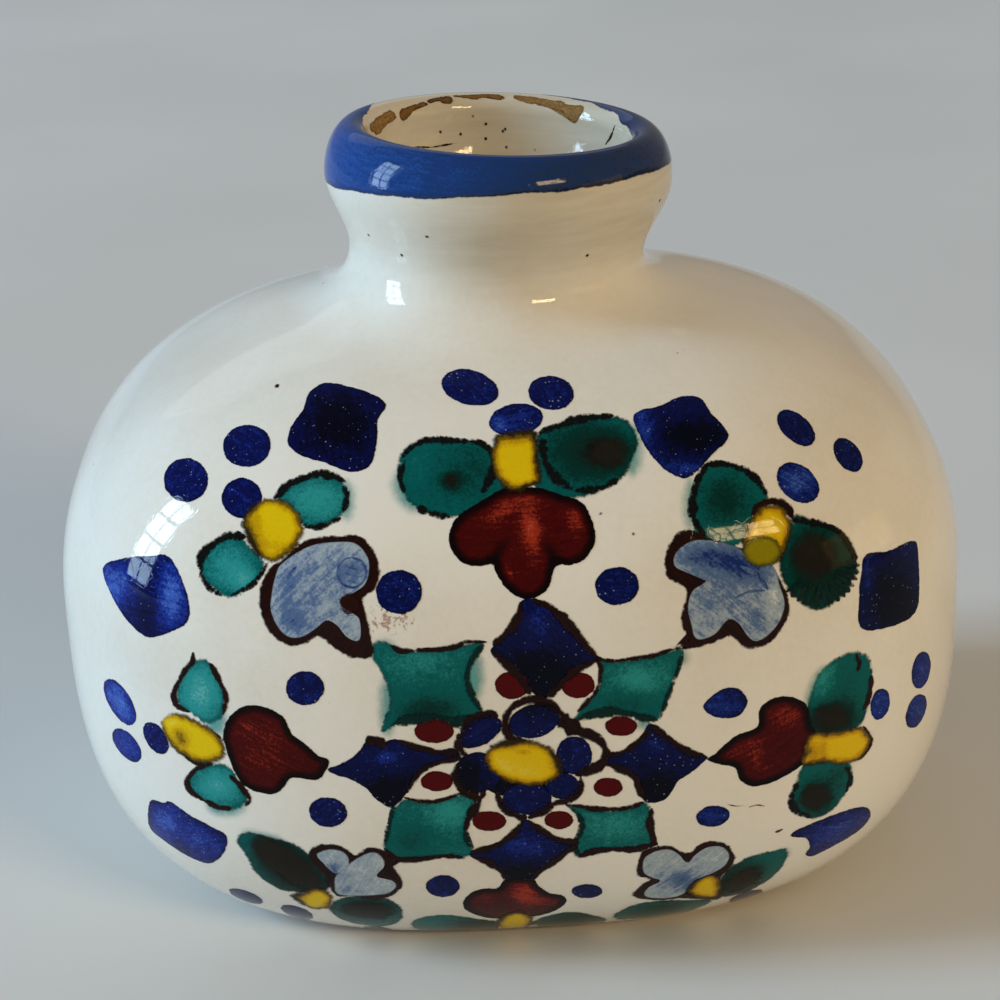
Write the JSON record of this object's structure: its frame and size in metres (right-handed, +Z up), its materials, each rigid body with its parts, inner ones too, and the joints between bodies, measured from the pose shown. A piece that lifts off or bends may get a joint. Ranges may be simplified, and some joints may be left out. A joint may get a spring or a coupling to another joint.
{
  "type": "ceramic vase",
  "caption": "Squat pillow-shaped flask vase with a flat foot, a short waisted neck, a rolled blue lip and a painted folk flower rosette on the front.",
  "frame": {"origin": "middle of the flat foot, on the surface that the vase stands on", "axes": "+Z up along the body, +X to the right across the side seams, -Y towards the painted front"},
  "size_m": [0.1, 0.0804, 0.0855],
  "materials": {
    "clay": "bare fired buff-brown earthenware",
    "white_glaze": "glossy warm white tin glaze, finely crazed",
    "rim_blue": "brushed cobalt under gloss",
    "cobalt": "brushed dark cobalt under gloss",
    "teal": "brushed copper teal under gloss, edges bleeding",
    "oxblood": "brushed iron red under gloss",
    "pale_blue": "thin pale cobalt wash under gloss",
    "yellow": "bright antimony yellow under gloss"
  },
  "bodies": {
    "root": {"front_shell": "clay", "back_shell": "clay", "neck_collar": "clay", "body_glaze": "white_glaze", "neck_glaze": "white_glaze", "inner_glaze": "white_glaze", "rim_band": "rim_blue", "eye": "yellow", "eye_petals": "cobalt", "diamonds": "cobalt", "teal_tiles": "teal", "red_dots": "oxblood", "ring_dots": "cobalt", "red_flowers": "oxblood", "pale_flowers": "pale_blue", "calyxes": "yellow", "leaves": "teal", "dot_clusters": "cobalt", "cobalt_dabs": "cobalt"}
  },
  "joints": []
}
